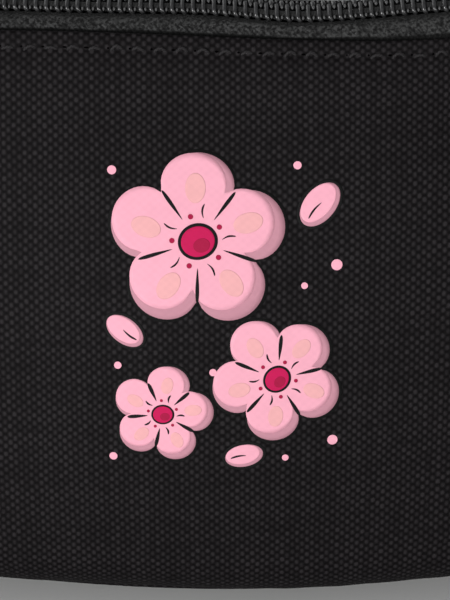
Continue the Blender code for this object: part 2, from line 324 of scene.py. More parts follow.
def fold_shift(x, side):
    """How far a fold dips, as the soft zip above it sags."""
    dip = FOLD_DIP * bell(x, 19.0 * MM, 30.0 * MM, 21.0 * MM)
    return dip if side < 0 else BACK_DIP_SHARE * dip


def tuck(x, to_seam):
    """How far the lower corner draws in: nothing in the middle and nothing at the ends."""
    inward = (1.0 - hump(x, 45.0 * MM)) * np.exp(-(x / (70.0 * MM)) ** 4)
    return TUCK * inward * hump(to_seam, 7.0 * MM)


def relief(x, s, side):
    """Small swells of a panel along its normal, from its belly to the gathers at its ends."""
    down = np.clip(s / SEAM_LENGTH, 0.0, 1.0)
    belly = BELLY * hump(x, 30.0 * MM) * arch(down ** 0.8)
    hem = 0.16 * MM * ramp(s, HEM, -0.5 * MM)
    row = hump(s - STITCH_DROP, 0.55 * MM)
    dimple = 0.5 - 0.5 * np.cos(2.0 * np.pi * x / STITCH_PITCH)
    stitch = -row * (0.10 * MM + 0.12 * MM * (1.0 - dimple))
    drift = 0.30 * MM * np.sin(x / (17.0 * MM) + 1.3 * side) * np.sin(s / (11.0 * MM) + 0.4)
    drift = drift + 0.16 * MM * np.sin(x / (7.3 * MM) - s / (16.0 * MM) + side)
    to_end = HALF_LENGTH - np.abs(x)
    wander = 1.4 * np.sin(s / (6.1 * MM) + 2.0 * side) + 0.9 * np.sin(s / (3.7 * MM))
    gather = np.sin(s / (1.9 * MM) + wander + np.sign(x))
    gather = gather * (0.6 + 0.4 * np.sin(s / (8.3 * MM) + x))
    gather = 0.24 * MM * gather * np.exp(-to_end / ((4.5 + 2.0 * np.sin(s / (4.7 * MM))) * MM))
    to_seam = np.maximum(0.0, SEAM_LENGTH - s)
    pleat = 0.05 * MM * np.exp(-to_seam / (3.0 * MM)) * np.sin(x / (1.15 * MM))
    calm = 1.0 - hump(s, 5.0 * MM)
    swell = belly + hem + stitch + calm * drift + gather + pleat - tuck(x, to_seam)
    if side < 0:
        dent = bell(x, 42.0 * MM, 16.0 * MM, 30.0 * MM) * bell(s, 8.0 * MM, 9.0 * MM, 14.0 * MM)
        swell = swell - DENT * dent
    return swell


def edge_roll(distance, reach, depth):
    """Inward turn of the cloth over the last bit before a seam: a parabola."""
    return depth * np.maximum(0.0, 1.0 - distance / reach) ** 2


def end_roll(x):
    """Inward turn of the cloth before the seam with an end panel."""
    return edge_roll(HALF_LENGTH - np.abs(x), 1.4 * MM, 0.7 * MM)


def grid(*coordinates):
    """Coordinate arrays of any fitting shapes as one array of points."""
    return np.stack(np.broadcast_arrays(*coordinates), axis=-1)


def panel_point(x, s, side, height=0.0):
    """Point of a side panel at a distance s down from its fold, raised by a height."""
    lean = np.interp(s, LENGTH_STEPS, LEAN_STEPS)
    y, z, normal_y, normal_z = skin(x, lean)
    seam_roll = edge_roll(SEAM_LENGTH - s, 1.2 * MM, 0.20 * MM)
    swell = relief(x, s, side) - end_roll(x) - seam_roll + height
    dip = fold_shift(x, side) * np.exp(-s / (14.0 * MM))
    return grid(x, side * (y + swell * normal_y), z + swell * normal_z - dip)


def ring_quads(rows, count, steps):
    """Quads between closed rings of points, over a number of steps from row to row."""
    row, k = np.meshgrid(np.arange(steps), np.arange(count), indexing="ij")
    after, beside = (k + 1) % count, (row + 1) % rows
    return np.stack([row * count + k, row * count + after,
                     beside * count + after, beside * count + k], -1).reshape(-1, 4)


def strip_quads(rows, count):
    """Quads of a closed ring of points carried along rows, with both ends capped.

    Point i of a ring faces point count - 1 - i, so each cap is a ladder of quads.
    """
    rung = np.arange(count // 2 - 1)
    ladder = np.stack([rung, count - 1 - rung, count - 2 - rung, rung + 1], -1)
    return np.concatenate([ring_quads(rows, count, rows - 1), ladder,
                           ladder[:, ::-1] + (rows - 1) * count])


def signed_volume(points, quads):
    """Volume inside a closed mesh, negative where its faces point in."""
    a, b, c, d = (points[quads[:, k]] for k in range(4))
    first = np.einsum("ij,ij->i", a, np.cross(b, c))
    second = np.einsum("ij,ij->i", a, np.cross(c, d))
    return (first.sum() + second.sum()) / 6.0


def closed(points, quads, uv):
    """Closed surface as points, quads that face out, and its map."""
    points = np.asarray(points, dtype=np.float64).reshape(-1, 3)
    if signed_volume(points, quads) < 0.0:
        quads = quads[:, ::-1]
    return points, quads, np.asarray(uv).reshape(-1, 2)


def strip(rings, uv):
    """Closed surface from an array of closed rings, one after the other."""
    return closed(rings, strip_quads(*rings.shape[:2]), uv)


def joined(surfaces):
    """Several closed surfaces as one set of points, quads and map."""
    points, quads, uv = zip(*surfaces)
    before = np.cumsum([0] + [len(each) for each in points[:-1]])
    quads = [each + first for each, first in zip(quads, before)]
    return np.concatenate(points), np.concatenate(quads), np.concatenate(uv)


def add_piece(name, surface, finish, body="pouch", replaces=None):
    """New object from a closed surface, with its finish and body."""
    points, quads, uv = surface
    quads = np.ascontiguousarray(quads)
    mesh = bpy.data.meshes.new(name)
    mesh.vertices.add(len(points))
    mesh.vertices.foreach_set("co", points.ravel())
    mesh.loops.add(quads.size)
    mesh.loops.foreach_set("vertex_index", quads.ravel())
    mesh.polygons.add(len(quads))
    mesh.polygons.foreach_set("loop_start", np.arange(0, quads.size, 4))
    mesh.update(calc_edges=True)
    layer = mesh.uv_layers.new(name="UVMap")
    layer.uv.foreach_set("vector", uv[quads.ravel()].ravel())
    mesh.shade_smooth()
    mesh.materials.append(finish)
    made = placed(name, mesh)
    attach(made, body)
    if replaces:
        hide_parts(replaces)
    return made


def end_steps(half, step, fine, margin):
    """Values from -half to half, closer together over a margin at both ends."""
    middle = np.linspace(-half + margin, half - margin, int(round(2.0 * half / step)))
    edge = np.linspace(half - margin, half, fine)[1:]
    return np.concatenate([-edge[::-1], middle, edge])


def side_panel(place, side):
    """Closed wall: up the outside, over the fold as a half circle, down the inside."""
    x = end_steps(HALF_LENGTH, 1.0 * MM, 6, 2.0 * MM)[:, None]
    s_out = np.concatenate([np.linspace(SEAM_LENGTH, SEAM_LENGTH - 2.0 * MM, 8),
                            np.linspace(SEAM_LENGTH - 2.0 * MM, 3.0 * MM, 74)[1:],
                            np.linspace(3.0 * MM, 0.0, 13)[1:]])[None, :]
    outer = panel_point(x, s_out, side)
    inner = panel_point(x, s_out, side, -WALL)[:, ::-1]
    centre = 0.5 * (outer[:, -1] + inner[:, 0])
    reach = outer[:, -1] - centre
    along = outer[:, -1] - outer[:, -2]
    along = along / np.linalg.norm(along, axis=-1, keepdims=True)
    turn = np.linspace(0.0, math.pi, 8)[1:-1][None, :, None]
    radius = np.linalg.norm(reach, axis=-1)[:, None, None]
    fold = centre[:, None] + reach[:, None] * np.cos(turn) + along[:, None] * radius * np.sin(turn)
    rings = np.concatenate([outer, fold, inner], axis=1)
    fold_v = -np.linspace(0.0, 0.5 * math.pi * WALL, 8)[None, 1:-1]
    inner_v = -(0.5 * math.pi * WALL + s_out[:, ::-1])
    v = np.concatenate([s_out, fold_v, inner_v], axis=1) + GRAIN_SKEW * x
    add_piece(f"{place}_cloth", strip(rings, grid(x, v)), canvas,
              replaces=f"{place}_panel")


def base_wall():
    """Base: the middle section between the two seams, with its edges rolled in."""
    x = end_steps(HALF_LENGTH, 1.5 * MM, 6, 2.0 * MM)[:, None]
    leans = np.linspace(SEAM_LEAN, -0.5 * math.pi, 9)
    faces = []
    for height in (0.0, -WALL):
        y, z, normal_y, normal_z = skin(x, leans)
        roll = edge_roll(CORNER_RADIUS * (SEAM_LEAN - leans), 1.2 * MM, 0.45 * MM)
        roll = roll + end_roll(x) + tuck(x, 2.0 * CORNER_RADIUS * (SEAM_LEAN - leans))
        half = grid(x, -y - (height - roll) * normal_y, z + (height - roll) * normal_z)
        share = np.linspace(0.0, 1.0, 20)[None, 1:-1, None]
        other = half[:, ::-1] * np.array([1.0, -1.0, 1.0])
        middle = half[:, -1:] * (1.0 - share) + other[:, :1] * share
        faces.append(np.concatenate([half, middle, other], axis=1))
    rings = np.concatenate([faces[0], faces[1][:, ::-1]], axis=1)
    add_piece("base_cloth", strip(rings, rings[..., :2]), canvas, replaces="base_panel")


side_panel("front", -1)
side_panel("back", 1)
base_wall()

# End panels.
# A rounded panel of the same canvas closes each end, sewn edge to edge with the body
# and drawn in by its seam, so that it domes a little.
END_CROWN = 3.0 * MM
ZIP_HALF_WIDTH, ZIP_TOP = 4.1 * MM, 82.2 * MM    # flat top edge, over the zip's end
SEAM_GAP = 0.3 * MM


def end_wall(place, side):
    """Dome over the end section: rows run down both edges, columns cross between them.

    The bulge is a parabola across times a sine of the height.
    """
    leans = np.concatenate([np.linspace(TOP_LEAN, 0.0, 60),
                            np.linspace(0.0, -0.5 * math.pi, 22)[1:]])
    y, z, _, _ = skin(HALF_LENGTH, leans)
    rise = np.linspace(1.0, 0.0, 6)[:-1]
    y = np.concatenate([FOLD_Y + (ZIP_HALF_WIDTH - FOLD_Y) * rise, y])
    z = np.concatenate([FOLD_Z + (ZIP_TOP - FOLD_Z) * rise, z])
    shares = np.linspace(-1.0, 1.0, 41)
    shares = np.sign(shares) * np.abs(shares) ** 0.8
    across = y[:, None] * shares
    height = np.broadcast_to(z[:, None], across.shape)
    upright = (height - z[-1]) / (z[0] - z[-1])
    from_side = y[:, None] * (1.0 - np.abs(shares))
    from_rim = np.minimum(from_side, np.minimum(height - z[-1], z[0] - height))
    dome = END_CROWN * (1.0 - shares ** 2) * arch(np.clip(upright, 0.0, 1.0), 0.7)
    wave = np.sin(height / (1.2 * MM) + 1.8 * np.sin(height / (5.3 * MM) + side))
    pucker = 0.22 * MM * np.exp(-from_rim / (2.5 * MM)) * wave
    roll = edge_roll(from_rim, 1.3 * MM, 0.7 * MM)
    faces = []
    for reach in (WALL, 0.0):
        x = HALF_LENGTH + SEAM_GAP + reach + dome + pucker - roll
        faces.append(grid(side * x, across, height))
    rings = np.concatenate([faces[0], faces[1][:, ::-1]], axis=1)
    add_piece(f"{place}_end_cloth", strip(rings, rings[..., 1:]), canvas,
              replaces=f"end_panel_{place}")


end_wall("left", -1)
end_wall("right", 1)

# Printed blossoms.
# Opaque matt ink screened on the front: round-petalled blossoms in pink and mauve with
# black outlines and crimson hearts, among loose petals and dots. Each colour is one film.
PRINT_MIDDLE = 37.0 * MM     # distance down from the fold
INK_SUNK = 0.15 * MM         # the underside of each film lies inside the cloth
OUTLINE = 0.45 * MM
# x, y and radius in mm, then the turn
BLOSSOMS = [(-3.6, 9.6, 11.9, 0.30), (7.0, -9.2, 8.8, 0.85), (-8.4, -14.2, 6.9, 0.10)]
LOOSE_PETALS = [(12.6, 14.6, 3.4, 0.9), (-13.4, -2.6, 2.8, 2.5), (2.6, -20.2, 2.6, 0.2)]
DOTS = [(9.6, 19.9, 0.55), (14.9, 6.4, 0.75), (10.6, 3.6, 0.45), (-15.0, 19.0, 0.60),
        (-14.4, -7.4, 0.50), (-15.2, -20.6, 0.55), (14.6, -18.2, 0.70), (8.2, -20.6, 0.45),
        (-1.6, -8.2, 0.50)]
INKS = {"black": (0.001, 0.001, 0.001), "pink": (0.79, 0.363, 0.455),
        "mauve": (0.48, 0.225, 0.28), "peach": (0.75, 0.37, 0.38),
        "crimson": (0.48, 0.004, 0.075), "wine": (0.33, 0.003, 0.045)}
films = {ink: [] for ink in INKS}


def ink_finish(name, colour):
    """Flat ink that keeps a trace of the weave and thins a little over it."""
    g = Graph(name)
    u, v = g.across()
    weave = g.times(g.sine(u, math.pi / WARP_PITCH), g.sine(v, math.pi / WEFT_PITCH))
    thin = g.ease(g.plus(weave, 0.15, g.noise(g.place(), 500.0, 3.0)), 0.25, 0.75, 0.96, 1.0)
    g.bump(weave, 0.015 * MM, 0.4)
    return g.surface(g.scale_tint(colour, thin), 0.78, Specular_IOR_Level=0.25)


def on_cloth(flat, height):
    """Points of the front panel for places of the print, raised by a height."""
    down = PRINT_MIDDLE - flat[..., 1]
    return panel_point(flat[..., 0], down, -1, height)


def full_turn(count):
    """Equal angles round a circle."""
    return np.arange(count) * 2.0 * math.pi / count


def blot(ink, middle, outline, height):
    """Film of an ink inside a polar outline: rings grow from its middle, then back below."""
    angle = full_turn(120)
    reach = np.linspace(0.02, 1.0, 14)[:, None] * outline(angle)
    flat = grid(middle[0] + reach * np.cos(angle), middle[1] + reach * np.sin(angle))
    both = np.concatenate([flat, flat[::-1]])
    rise = np.where(np.arange(len(both)) < len(flat), height, -INK_SUNK)[:, None]
    films[ink].append(strip(on_cloth(both, rise), both))


def brush_line(ink, start, end, bow, widths, height):
    """Film along a bowed line whose half width follows half a sine between two widths."""
    share = np.linspace(0.0, 1.0, 22)[:, None]
    start, end = np.array(start), np.array(end)
    run = (end - start) / np.linalg.norm(end - start)
    side = np.array([-run[1], run[0]])
    middle = start + (end - start) * share + side * bow * arch(share)
    half = (widths[0] + (widths[1] - widths[0]) * share) * arch(share, 0.5) + 0.01 * MM
    across = np.array([-1.0, -0.5, 0.0, 0.5, 1.0])
    top = middle[:, None] + side * (half * across)[..., None]
    both = np.concatenate([top, top[:, ::-1]], axis=1)
    rise = np.array([height] * 5 + [-INK_SUNK] * 5)
    films[ink].append(strip(on_cloth(both, rise), both))


def petals(radius, turn, deep=0.60):
    """Polar outline of five round petals: a power of a cosine of five half turns."""
    def outline(angle):
        lobe = np.abs(np.cos(2.5 * (angle - turn))) ** 0.55
        return radius * (deep + (1.0 - deep) * lobe)
    return outline


def oval(length, width, turn):
    """Polar outline of an ellipse whose long axis is turned by an angle."""
    def outline(angle):
        along, across = np.cos(angle - turn) / length, np.sin(angle - turn) / width
        return 1.0 / np.sqrt(along ** 2 + across ** 2)
    return outline


def polar(middle, reach, angle):
    """Place at a distance and an angle from a middle."""
    return (middle[0] + reach * math.cos(angle), middle[1] + reach * math.sin(angle))


def shaded(middle, whole, lit, left, up):
    """Black backing, shade and lit face of one shape, the face moved left and up."""
    blot("black", middle, lambda angle: whole(angle) + OUTLINE, 0.05 * MM)
    blot("mauve", middle, whole, 0.08 * MM)
    blot("pink", (middle[0] - left, middle[1] + up), lit, 0.11 * MM)


def blossom(middle, radius, turn):
    """One blossom, from its black backing up to its heart."""
    shaded(middle, petals(radius, turn), petals(0.935 * radius, turn, 0.575),
           0.055 * radius, 0.060 * radius)
    for k in range(5):
        notch = turn + (2 * k + 1) * math.pi / 5.0
        tip = turn + 2 * k * math.pi / 5.0
        brush_line("black", polar(middle, 0.30 * radius, notch),
                   polar(middle, 0.70 * radius, notch), 0.0, (0.10 * MM, 0.34 * MM), 0.14 * MM)
        blot("peach", polar(middle, 0.60 * radius, tip + 0.06),
             oval(0.17 * radius, 0.115 * radius, tip), 0.13 * MM)
        brush_line("black", polar(middle, 0.27 * radius, tip - 0.22),
                   polar(middle, 0.43 * radius, tip - 0.16), 0.02 * radius,
                   (0.07 * MM, 0.15 * MM), 0.14 * MM)
        blot("wine", polar(middle, 0.29 * radius, tip + 0.30),
             oval(0.030 * radius, 0.030 * radius, 0.0), 0.15 * MM)
    blot("black", middle, oval(0.225 * radius, 0.205 * radius, turn), 0.16 * MM)
    blot("crimson", middle, oval(0.190 * radius, 0.170 * radius, turn), 0.18 * MM)
    blot("wine", polar(middle, 0.060 * radius, -0.8),
         oval(0.095 * radius, 0.080 * radius, turn), 0.20 * MM)


def loose_petal(middle, radius, turn):
    """One fallen petal: an oval with a crease and a shaded edge."""
    shaded(middle, oval(radius, 0.62 * radius, turn), oval(0.90 * radius, 0.53 * radius, turn),
           0.06 * radius, 0.07 * radius)
    brush_line("black", polar(middle, 0.72 * radius, turn + math.pi),
               polar(middle, 0.10 * radius, turn), 0.05 * radius,
               (0.16 * MM, 0.08 * MM), 0.14 * MM)


for draw_one, table in ((blossom, BLOSSOMS), (loose_petal, LOOSE_PETALS)):
    for x, y, radius, turn in table:
        draw_one((x * MM, y * MM), radius * MM, turn)
for x, y, radius in DOTS:
    blot("pink", (x * MM, y * MM), oval(radius * MM, radius * MM, 0.0), 0.05 * MM)
for ink, colour in INKS.items():
    add_piece(f"print_{ink}", joined(films[ink]), ink_finish(f"{ink} ink", colour))

# Zip tapes.
# A ribbon of fine herringbone twill on each side of the chain. It lies flat under the
# coil, dips to the fold, and its far edge is sewn in behind the turned cloth.
TAPE_TOP = 82.2 * MM
TAPE_THICKNESS = 0.6 * MM
TAPE_INNER = 1.7 * MM
COIL_OUTER = 3.1 * MM        # where the coil ends on the tape
TAPE_BEND = 4.1 * MM
TAPE_FOLD_Y, TAPE_FOLD_Z = 6.54 * MM, 79.81 * MM
TAPE_FLAP = 4.6 * MM
TAPE_FLAP_LEAN = math.radians(10.0)
TAPE_HALF_LENGTH = 97.3 * MM
BEND_SOFTNESS = 0.30 * MM
TAPE_GROOVE = 0.55 * MM      # how much deeper it lies beside the fold
UNDER_COIL = 1.50 * MM       # where it comes out from under the coil, along its width
CREASE = 4.60 * MM           # and where it goes under the fold
CHAIN_DIP = 1.30 * MM
CHAIN_BOW = 1.50 * MM
TWILL_LANE = 3.2 * MM
TWILL_PITCH = 0.80 * MM


def chain_shift(x):
    """Sideways bow (y) and dip (z) of the slack zip chain: a wide and a narrow bell curve."""
    shape = 0.59 * bell(x, -10.0 * MM, 27.5 * MM, 44.0 * MM)
    shape = shape + 0.80 * bell(x, 10.7 * MM, 10.0 * MM, 16.0 * MM)
    return -CHAIN_BOW * shape, -CHAIN_DIP * shape


def tape_finish():
    """Twill: fine slanted ribs whose direction turns every few millimetres.

    Loose fibres speckle it. Painted shade darkens it beside the coil, and unevenly in the fold's
    crease.
    """
    g = Graph("black zip tape")
    u, v = g.across()
    lane = g.calc("FRACT", g.calc("DIVIDE", v, TWILL_LANE))
    slant = g.plus(g.calc("ABSOLUTE", g.calc("SUBTRACT", lane, 0.5)), TWILL_LANE * 0.9, u)
    weave = g.ease(g.sine(slant, 2.0 * math.pi / TWILL_PITCH), -1.2, 1.4)
    fluff = g.ease(g.noise(g.place(), 2100.0, 2.0, 0.6), 0.39, 0.66)
    cloud = g.ease(g.noise(g.place(), 900.0), 0.35, 0.65, 0.75, 1.25)
    light = g.plus(weave, 0.15, g.times(fluff, cloud))
    # Painted shade: a dark band with a wobbly edge where the tape goes under the fold, for the
    # fold's shadow on it.
    edge = g.plus(g.noise(g.place(), 420.0, 3.0), 0.45 * MM, v)
    painted_crease_shade = g.ease(edge, CREASE - 0.15 * MM, CREASE + 0.25 * MM, 1.0, 0.10)
    colour = g.tint(light, (0.0045, 0.0044, 0.0045), (0.0430, 0.0433, 0.0430))
    # Painted shade: the tape is darker beside the coil, where the coil's feet shade it.
    beside = g.ease(v, UNDER_COIL, UNDER_COIL + 0.90 * MM, 0.80, 1.0)
    colour = g.scale_tint(colour, g.times(painted_crease_shade, beside))
    g.bump(g.calc("ADD", fluff, weave), 0.10 * MM, 0.7)
    return g.surface(colour, 0.70, Specular_IOR_Level=0.12, Sheen_Weight=0.05)


tape_cloth = tape_finish()


def tape_section():
    """Top side of a tape from its inner edge: flat, a soft bend, a slope, then the flap.

    A bell curve sinks it where it goes under the fold.
    """
    y = np.linspace(TAPE_INNER, TAPE_FOLD_Y, 26)
    slope = BEND_SOFTNESS * np.log1p(np.exp((y - TAPE_BEND) / BEND_SOFTNESS))
    z = TAPE_TOP - (TAPE_TOP - TAPE_FOLD_Z) * slope / slope[-1]
    z = z - TAPE_GROOVE * hump(TAPE_FOLD_Y - y, 0.45 * MM)
    down = np.linspace(0.0, TAPE_FLAP, 8)[1:]
    y = np.concatenate([y, TAPE_FOLD_Y + down * math.sin(TAPE_FLAP_LEAN)])
    z = np.concatenate([z, z[-1] - down * math.cos(TAPE_FLAP_LEAN)])
    return y, z


def zip_tape(place, side):
    """Closed ribbon of one thickness along the section, following the sagging chain."""
    x = end_steps(TAPE_HALF_LENGTH, 1.0 * MM, 3, 1.0 * MM)[:, None]
    y, z = tape_section()
    run_y, run_z = np.gradient(y), np.gradient(z)
    size = np.hypot(run_y, run_z)
    low_y, low_z = y + TAPE_THICKNESS * run_z / size, z - TAPE_THICKNESS * run_y / size
    ring_y = np.concatenate([y, low_y[::-1]])
    ring_z = np.concatenate([z, low_z[::-1]])
    shift_y, shift_z = chain_shift(x)
    share = np.clip((ring_y - COIL_OUTER) / (TAPE_FOLD_Y - COIL_OUTER), 0.0, 1.0)
    ripple = 0.06 * MM * np.sin(x / (2.1 * MM)) * arch(share)
    rings = grid(x, side * ring_y + shift_y * (1.0 - share),
                 ring_z + shift_z * (1.0 - share) - fold_shift(x, side) * share + ripple)
    along = np.concatenate([[0.0], np.cumsum(size[1:])])
    v = np.concatenate([along, along[::-1]])
    add_piece(f"tape_cloth_{place}", strip(rings, grid(x, v)), tape_cloth,
              replaces=f"zip_tape_{place}")


zip_tape("front", -1)
zip_tape("back", 1)

# Zip chain.
# Each half is one nylon filament wound in turns over a soft cord and sewn to its tape
# with two rows of thread. The heads of the two halves lie between each other.
COIL_PITCH = 1.40 * MM
FILAMENT = 0.30 * MM         # radius
COIL_SLOPE = 0.75 * MM       # how much lower the outer bends lie than the heads
COIL_TOP = 84.4 * MM
HEAD_REACH = 0.45 * MM       # how far the heads pass the middle
CORD_Y, CORD_LEVEL = 1.70 * MM, 83.08 * MM    # middle of the soft cord inside the turns
CORD_RADIUS = 0.62 * MM
THREAD_TWIST = 0.42 * MM
THREAD_ROWS = (("inner", 1.15, 0.26, 0.20, 0.12),    # middle, half length, radius and
               ("outer", 2.74, 0.19, 0.16, 0.60))    # depth under the crown, in mm
CHAIN_LEFT, CHAIN_RIGHT = -87.6 * MM, 85.7 * MM
LENGTHWISE, CROSSWISE, UPRIGHT = (1.0, 0.0, 0.0), (0.0, 1.0, 0.0), (0.0, 0.0, 1.0)


def tubes(paths, radius, sides, guide, wide=1.0):
    """Closed tubes of round or oval section along many paths.

    The section turns with two normals: the guide direction made square to the path, along
    which it is wider by a factor, and the cross product of that with the path.
    """
    many, steps = paths.shape[:2]
    run = np.gradient(paths, axis=1)
    run = run / np.linalg.norm(run, axis=-1, keepdims=True)
    first = np.asarray(guide) - run * np.sum(run * guide, axis=-1, keepdims=True)
    first = first / np.linalg.norm(first, axis=-1, keepdims=True)
    second = np.cross(run, first)
    angle = full_turn(sides)
    radius = np.broadcast_to(radius, (many, steps))[..., None, None]
    rings = paths[:, :, None] + radius * (wide * first[:, :, None] * np.cos(angle)[:, None]
                                          + second[:, :, None] * np.sin(angle)[:, None])
    quads = strip_quads(steps, sides)
    quads = np.concatenate([quads + n * steps * sides for n in range(many)])
    stride = np.diff(paths, axis=1, prepend=paths[:, :1])
    length = np.cumsum(np.linalg.norm(stride, axis=-1), axis=1)
    return closed(rings, quads, grid(length[:, :, None], angle / (2.0 * math.pi)))


def power_wave(value, power):
    """Value raised to a power with its sign kept, which squares up a cosine."""
    return np.sign(value) * np.abs(value) ** power


def coil_crown(y):
    """Top of the coil at a distance y from the middle: it slopes down to its outer bends."""
    share = np.clip((y + HEAD_REACH) / (COIL_OUTER + HEAD_REACH), 0.0, 1.0)
    return COIL_TOP - COIL_SLOPE * share ** 1.5


def coil_path(side):
    """Wound filament: squared cosines across and up, so that its outer legs stand upright.

    Two smooth steps, at the foot of the legs and under the coil, make up one pitch.
    """
    turns = int((CHAIN_RIGHT - CHAIN_LEFT) / COIL_PITCH) - 1
    t = np.arange(turns * 32 + 1) / 32.0
    part = t % 1.0

    def stepped(share):
        """Share of the pitch done after a share of one turn, not yet brought to 0 to 1."""
        return 0.24 * ramp(share, 0.285, 0.026) + 0.76 * ramp(share, 0.58, 0.06)

    step = (stepped(part) - stepped(0.0)) / (stepped(1.0) - stepped(0.0))
    angle = 0.5 * math.pi - 2.0 * math.pi * part
    start = CHAIN_LEFT + (0.5 if side < 0 else 1.0) * COIL_PITCH
    x = start + (np.floor(t) + step) * COIL_PITCH
    middle = 0.5 * (COIL_OUTER - HEAD_REACH)
    reach = 0.5 * (COIL_OUTER + HEAD_REACH) - FILAMENT
    low = TAPE_TOP + 0.05 * MM
    y = middle + reach * power_wave(np.cos(angle), 0.75)
    tall = coil_crown(y) - low - 2.0 * FILAMENT
    z = low + FILAMENT + tall * (0.5 + 0.5 * power_wave(np.sin(angle), 0.75))
    head = hump(angle + math.pi, 0.45)
    return x, y, z, FILAMENT * (1.0 + 0.22 * head)


def sagged(x, y, z):
    """Points of the chain moved with its bow and dip."""
    shift_y, shift_z = chain_shift(x)
    return grid(x, y + shift_y, z + shift_z)


def nylon_finish():
    """Drawn nylon: even and slightly glossy, with faint scuffs."""
    g = Graph("black nylon")
    scuff = g.noise(g.place(), 1500.0, 3.0, 0.6)
    colour = g.tint(g.ease(scuff, 0.35, 0.75), (0.014, 0.014, 0.0145), (0.033, 0.033, 0.034))
    g.bump(scuff, 0.02 * MM, 0.3)
    return g.surface(colour, g.ease(scuff, 0.3, 0.7, 0.26, 0.38), Specular_IOR_Level=0.80)


def thread_finish(name, dark, pale):
    """Twisted sewing thread: stripes that run round the thread at a slant."""
    g = Graph(name)
    u, v = g.across()
    lengthwise = g.times(u, 2.0 * math.pi / THREAD_TWIST)
    twist = g.calc("SINE", g.plus(v, 6.0 * math.pi, lengthwise))
    light = g.ease(g.plus(g.noise(g.place(), 5000.0), 0.8, twist), -0.8, 1.4)
    g.bump(twist, 0.02 * MM, 0.5)
    return g.surface(g.tint(light, dark, pale), 0.60, Specular_IOR_Level=0.15, Sheen_Weight=0.05)


nylon = nylon_finish()
coil_thread = thread_finish("coil thread", (0.055, 0.055, 0.055), (0.095, 0.095, 0.097))
core = thread_finish("core cord", (0.012, 0.012, 0.012), (0.022, 0.022, 0.022))
thread = thread_finish("black thread", (0.011, 0.010, 0.011), (0.020, 0.018, 0.019))


def zip_coil(place, side):
    """Filament, core cord and two rows of short stitches of one half of the chain.

    The stitches lie between the turns, each a spindle across the chain under the crown.
    """
    x, y, z, radius = coil_path(side)
    path = sagged(x, side * y, z)[None]
    turns = tubes(path, radius[None], 8, LENGTHWISE)
    pieces = [add_piece(f"coil_turns_{place}", turns, nylon, replaces=f"coil_{place}")]
    rows = np.linspace(CHAIN_LEFT + 0.2 * MM, CHAIN_RIGHT - 0.2 * MM, 260)
    cord = tubes(sagged(rows, side * CORD_Y, CORD_LEVEL)[None], CORD_RADIUS, 12, UPRIGHT)
    pieces.append(add_piece(f"core_cord_{place}", cord, core))
    between = np.arange(CHAIN_LEFT + (1.0 if side < 0 else 1.5) * COIL_PITCH,
                        CHAIN_RIGHT - COIL_PITCH, COIL_PITCH)[:, None]
    share = np.linspace(-1.0, 1.0, 9)
    for row, middle, half, thick, depth in THREAD_ROWS:
        across = (middle + half * share) * MM
        level = coil_crown(across) - (depth + 0.5 * depth * half * share + 0.14 * share ** 2) * MM
        stitches = sagged(between, side * across, level)
        spindle = thick * MM * np.sqrt(1.02 - share ** 2)
        spindles = tubes(stitches, spindle, 8, LENGTHWISE)
        pieces.append(add_piece(f"{row}_thread_{place}", spindles, coil_thread))
    for piece in pieces:
        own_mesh(piece)


zip_coil("front", -1)
zip_coil("back", 1)

# Stitches along the folds.
# A lockstitch of thick thread holds each fold to the tape. Every stitch comes up
# through one hole, lies on the cloth at a slight slant and goes down the next.
THREAD = 0.19 * MM           # radius
STITCH_FILL = 0.54           # share of the pitch that the thread lies on top
ROW_MARGIN = 2.5 * MM        # from each end seam to the row
STITCH_SEED = 5
HOLE = 0.16 * MM             # radius of a needle hole
# Near-black and without gloss: painted shade for the inside of the needle holes.
hole_shade_finish = Graph("needle holes").surface((0.0006, 0.0005, 0.0006), 0.95, Specular_IOR_Level=0.0)


def stitch_row(place, side):
    """Arcs of thread, half a sine high, and a near-black spindle of painted shade for the needle
    hole that each one comes out of.
    """
    count = int(2.0 * (HALF_LENGTH - ROW_MARGIN) / STITCH_PITCH)
    first = ROW_MARGIN - HALF_LENGTH + STITCH_PITCH * np.arange(count)[:, None]
    share = np.linspace(0.0, 1.0, 11)
    draw = np.random.default_rng(STITCH_SEED + side)
    slant = draw.normal(0.24, 0.16, (count, 1)) * MM
    bow = draw.normal(0.40, 0.16, (count, 1)) * MM
    x = first + STITCH_PITCH * STITCH_FILL * share
    s = STITCH_DROP + slant * (0.5 - share) - bow * arch(share)
    rise = (0.30 * arch(share, 0.6) + draw.normal(-0.16, 0.03, (count, 1))) * MM
    stitches = tubes(panel_point(x, s, side, rise), THREAD, 8, UPRIGHT)
    add_piece(f"fold_stitches_{place}", stitches, thread)
    # Painted shade: a near-black spindle, sunk in the cloth just before each stitch, stands for the
    # dark inside of its needle hole.
    length = draw.uniform(0.25, 0.75, (count, 1)) * MM
    x = first - 0.30 * MM + length * (share - 0.5)
    path = panel_point(x, STITCH_DROP - 0.28 * MM, side, -0.09 * MM)
    holes = tubes(path, HOLE * arch(share, 0.5) + 0.005 * MM, 8, UPRIGHT)
    add_piece(f"needle_hole_shades_{place}", holes, hole_shade_finish)


stitch_row("front", -1)
stitch_row("back", 1)

# Zip stop, slider and pull.
# Cast zinc in black enamel that has worn through at its edges: two rounded plates with
# a wedge and side flanges between them, a bridge on top and a flat pull that hangs on it.
UNDER_TOP = COIL_TOP + 0.3 * MM
PLATE_TOP = UNDER_TOP + 1.3 * MM
UNDER_TAPE = TAPE_TOP - 1.0 * MM
SLIDER_MIDDLE = -84.3 * MM
SLIDER_HALF_LENGTH = 6.0 * MM
PULL_AXIS = PLATE_TOP + 1.0 * MM
EYE_MIDDLE, EYE_HALF_LENGTH, EYE_HALF_WIDTH = 2.7 * MM, 2.1 * MM, 1.3 * MM
PULL_MIDDLE, PULL_HALF_LENGTH = 11.7 * MM, 12.3 * MM
PULL_HALF_WIDTH, PULL_FLARE = 3.05 * MM, 0.55 * MM
PULL_SINK = 0.14 * MM        # how deep its field lies
PLATE_WAVE = 2.0 / 3.5       # power that squares up a plate's outline


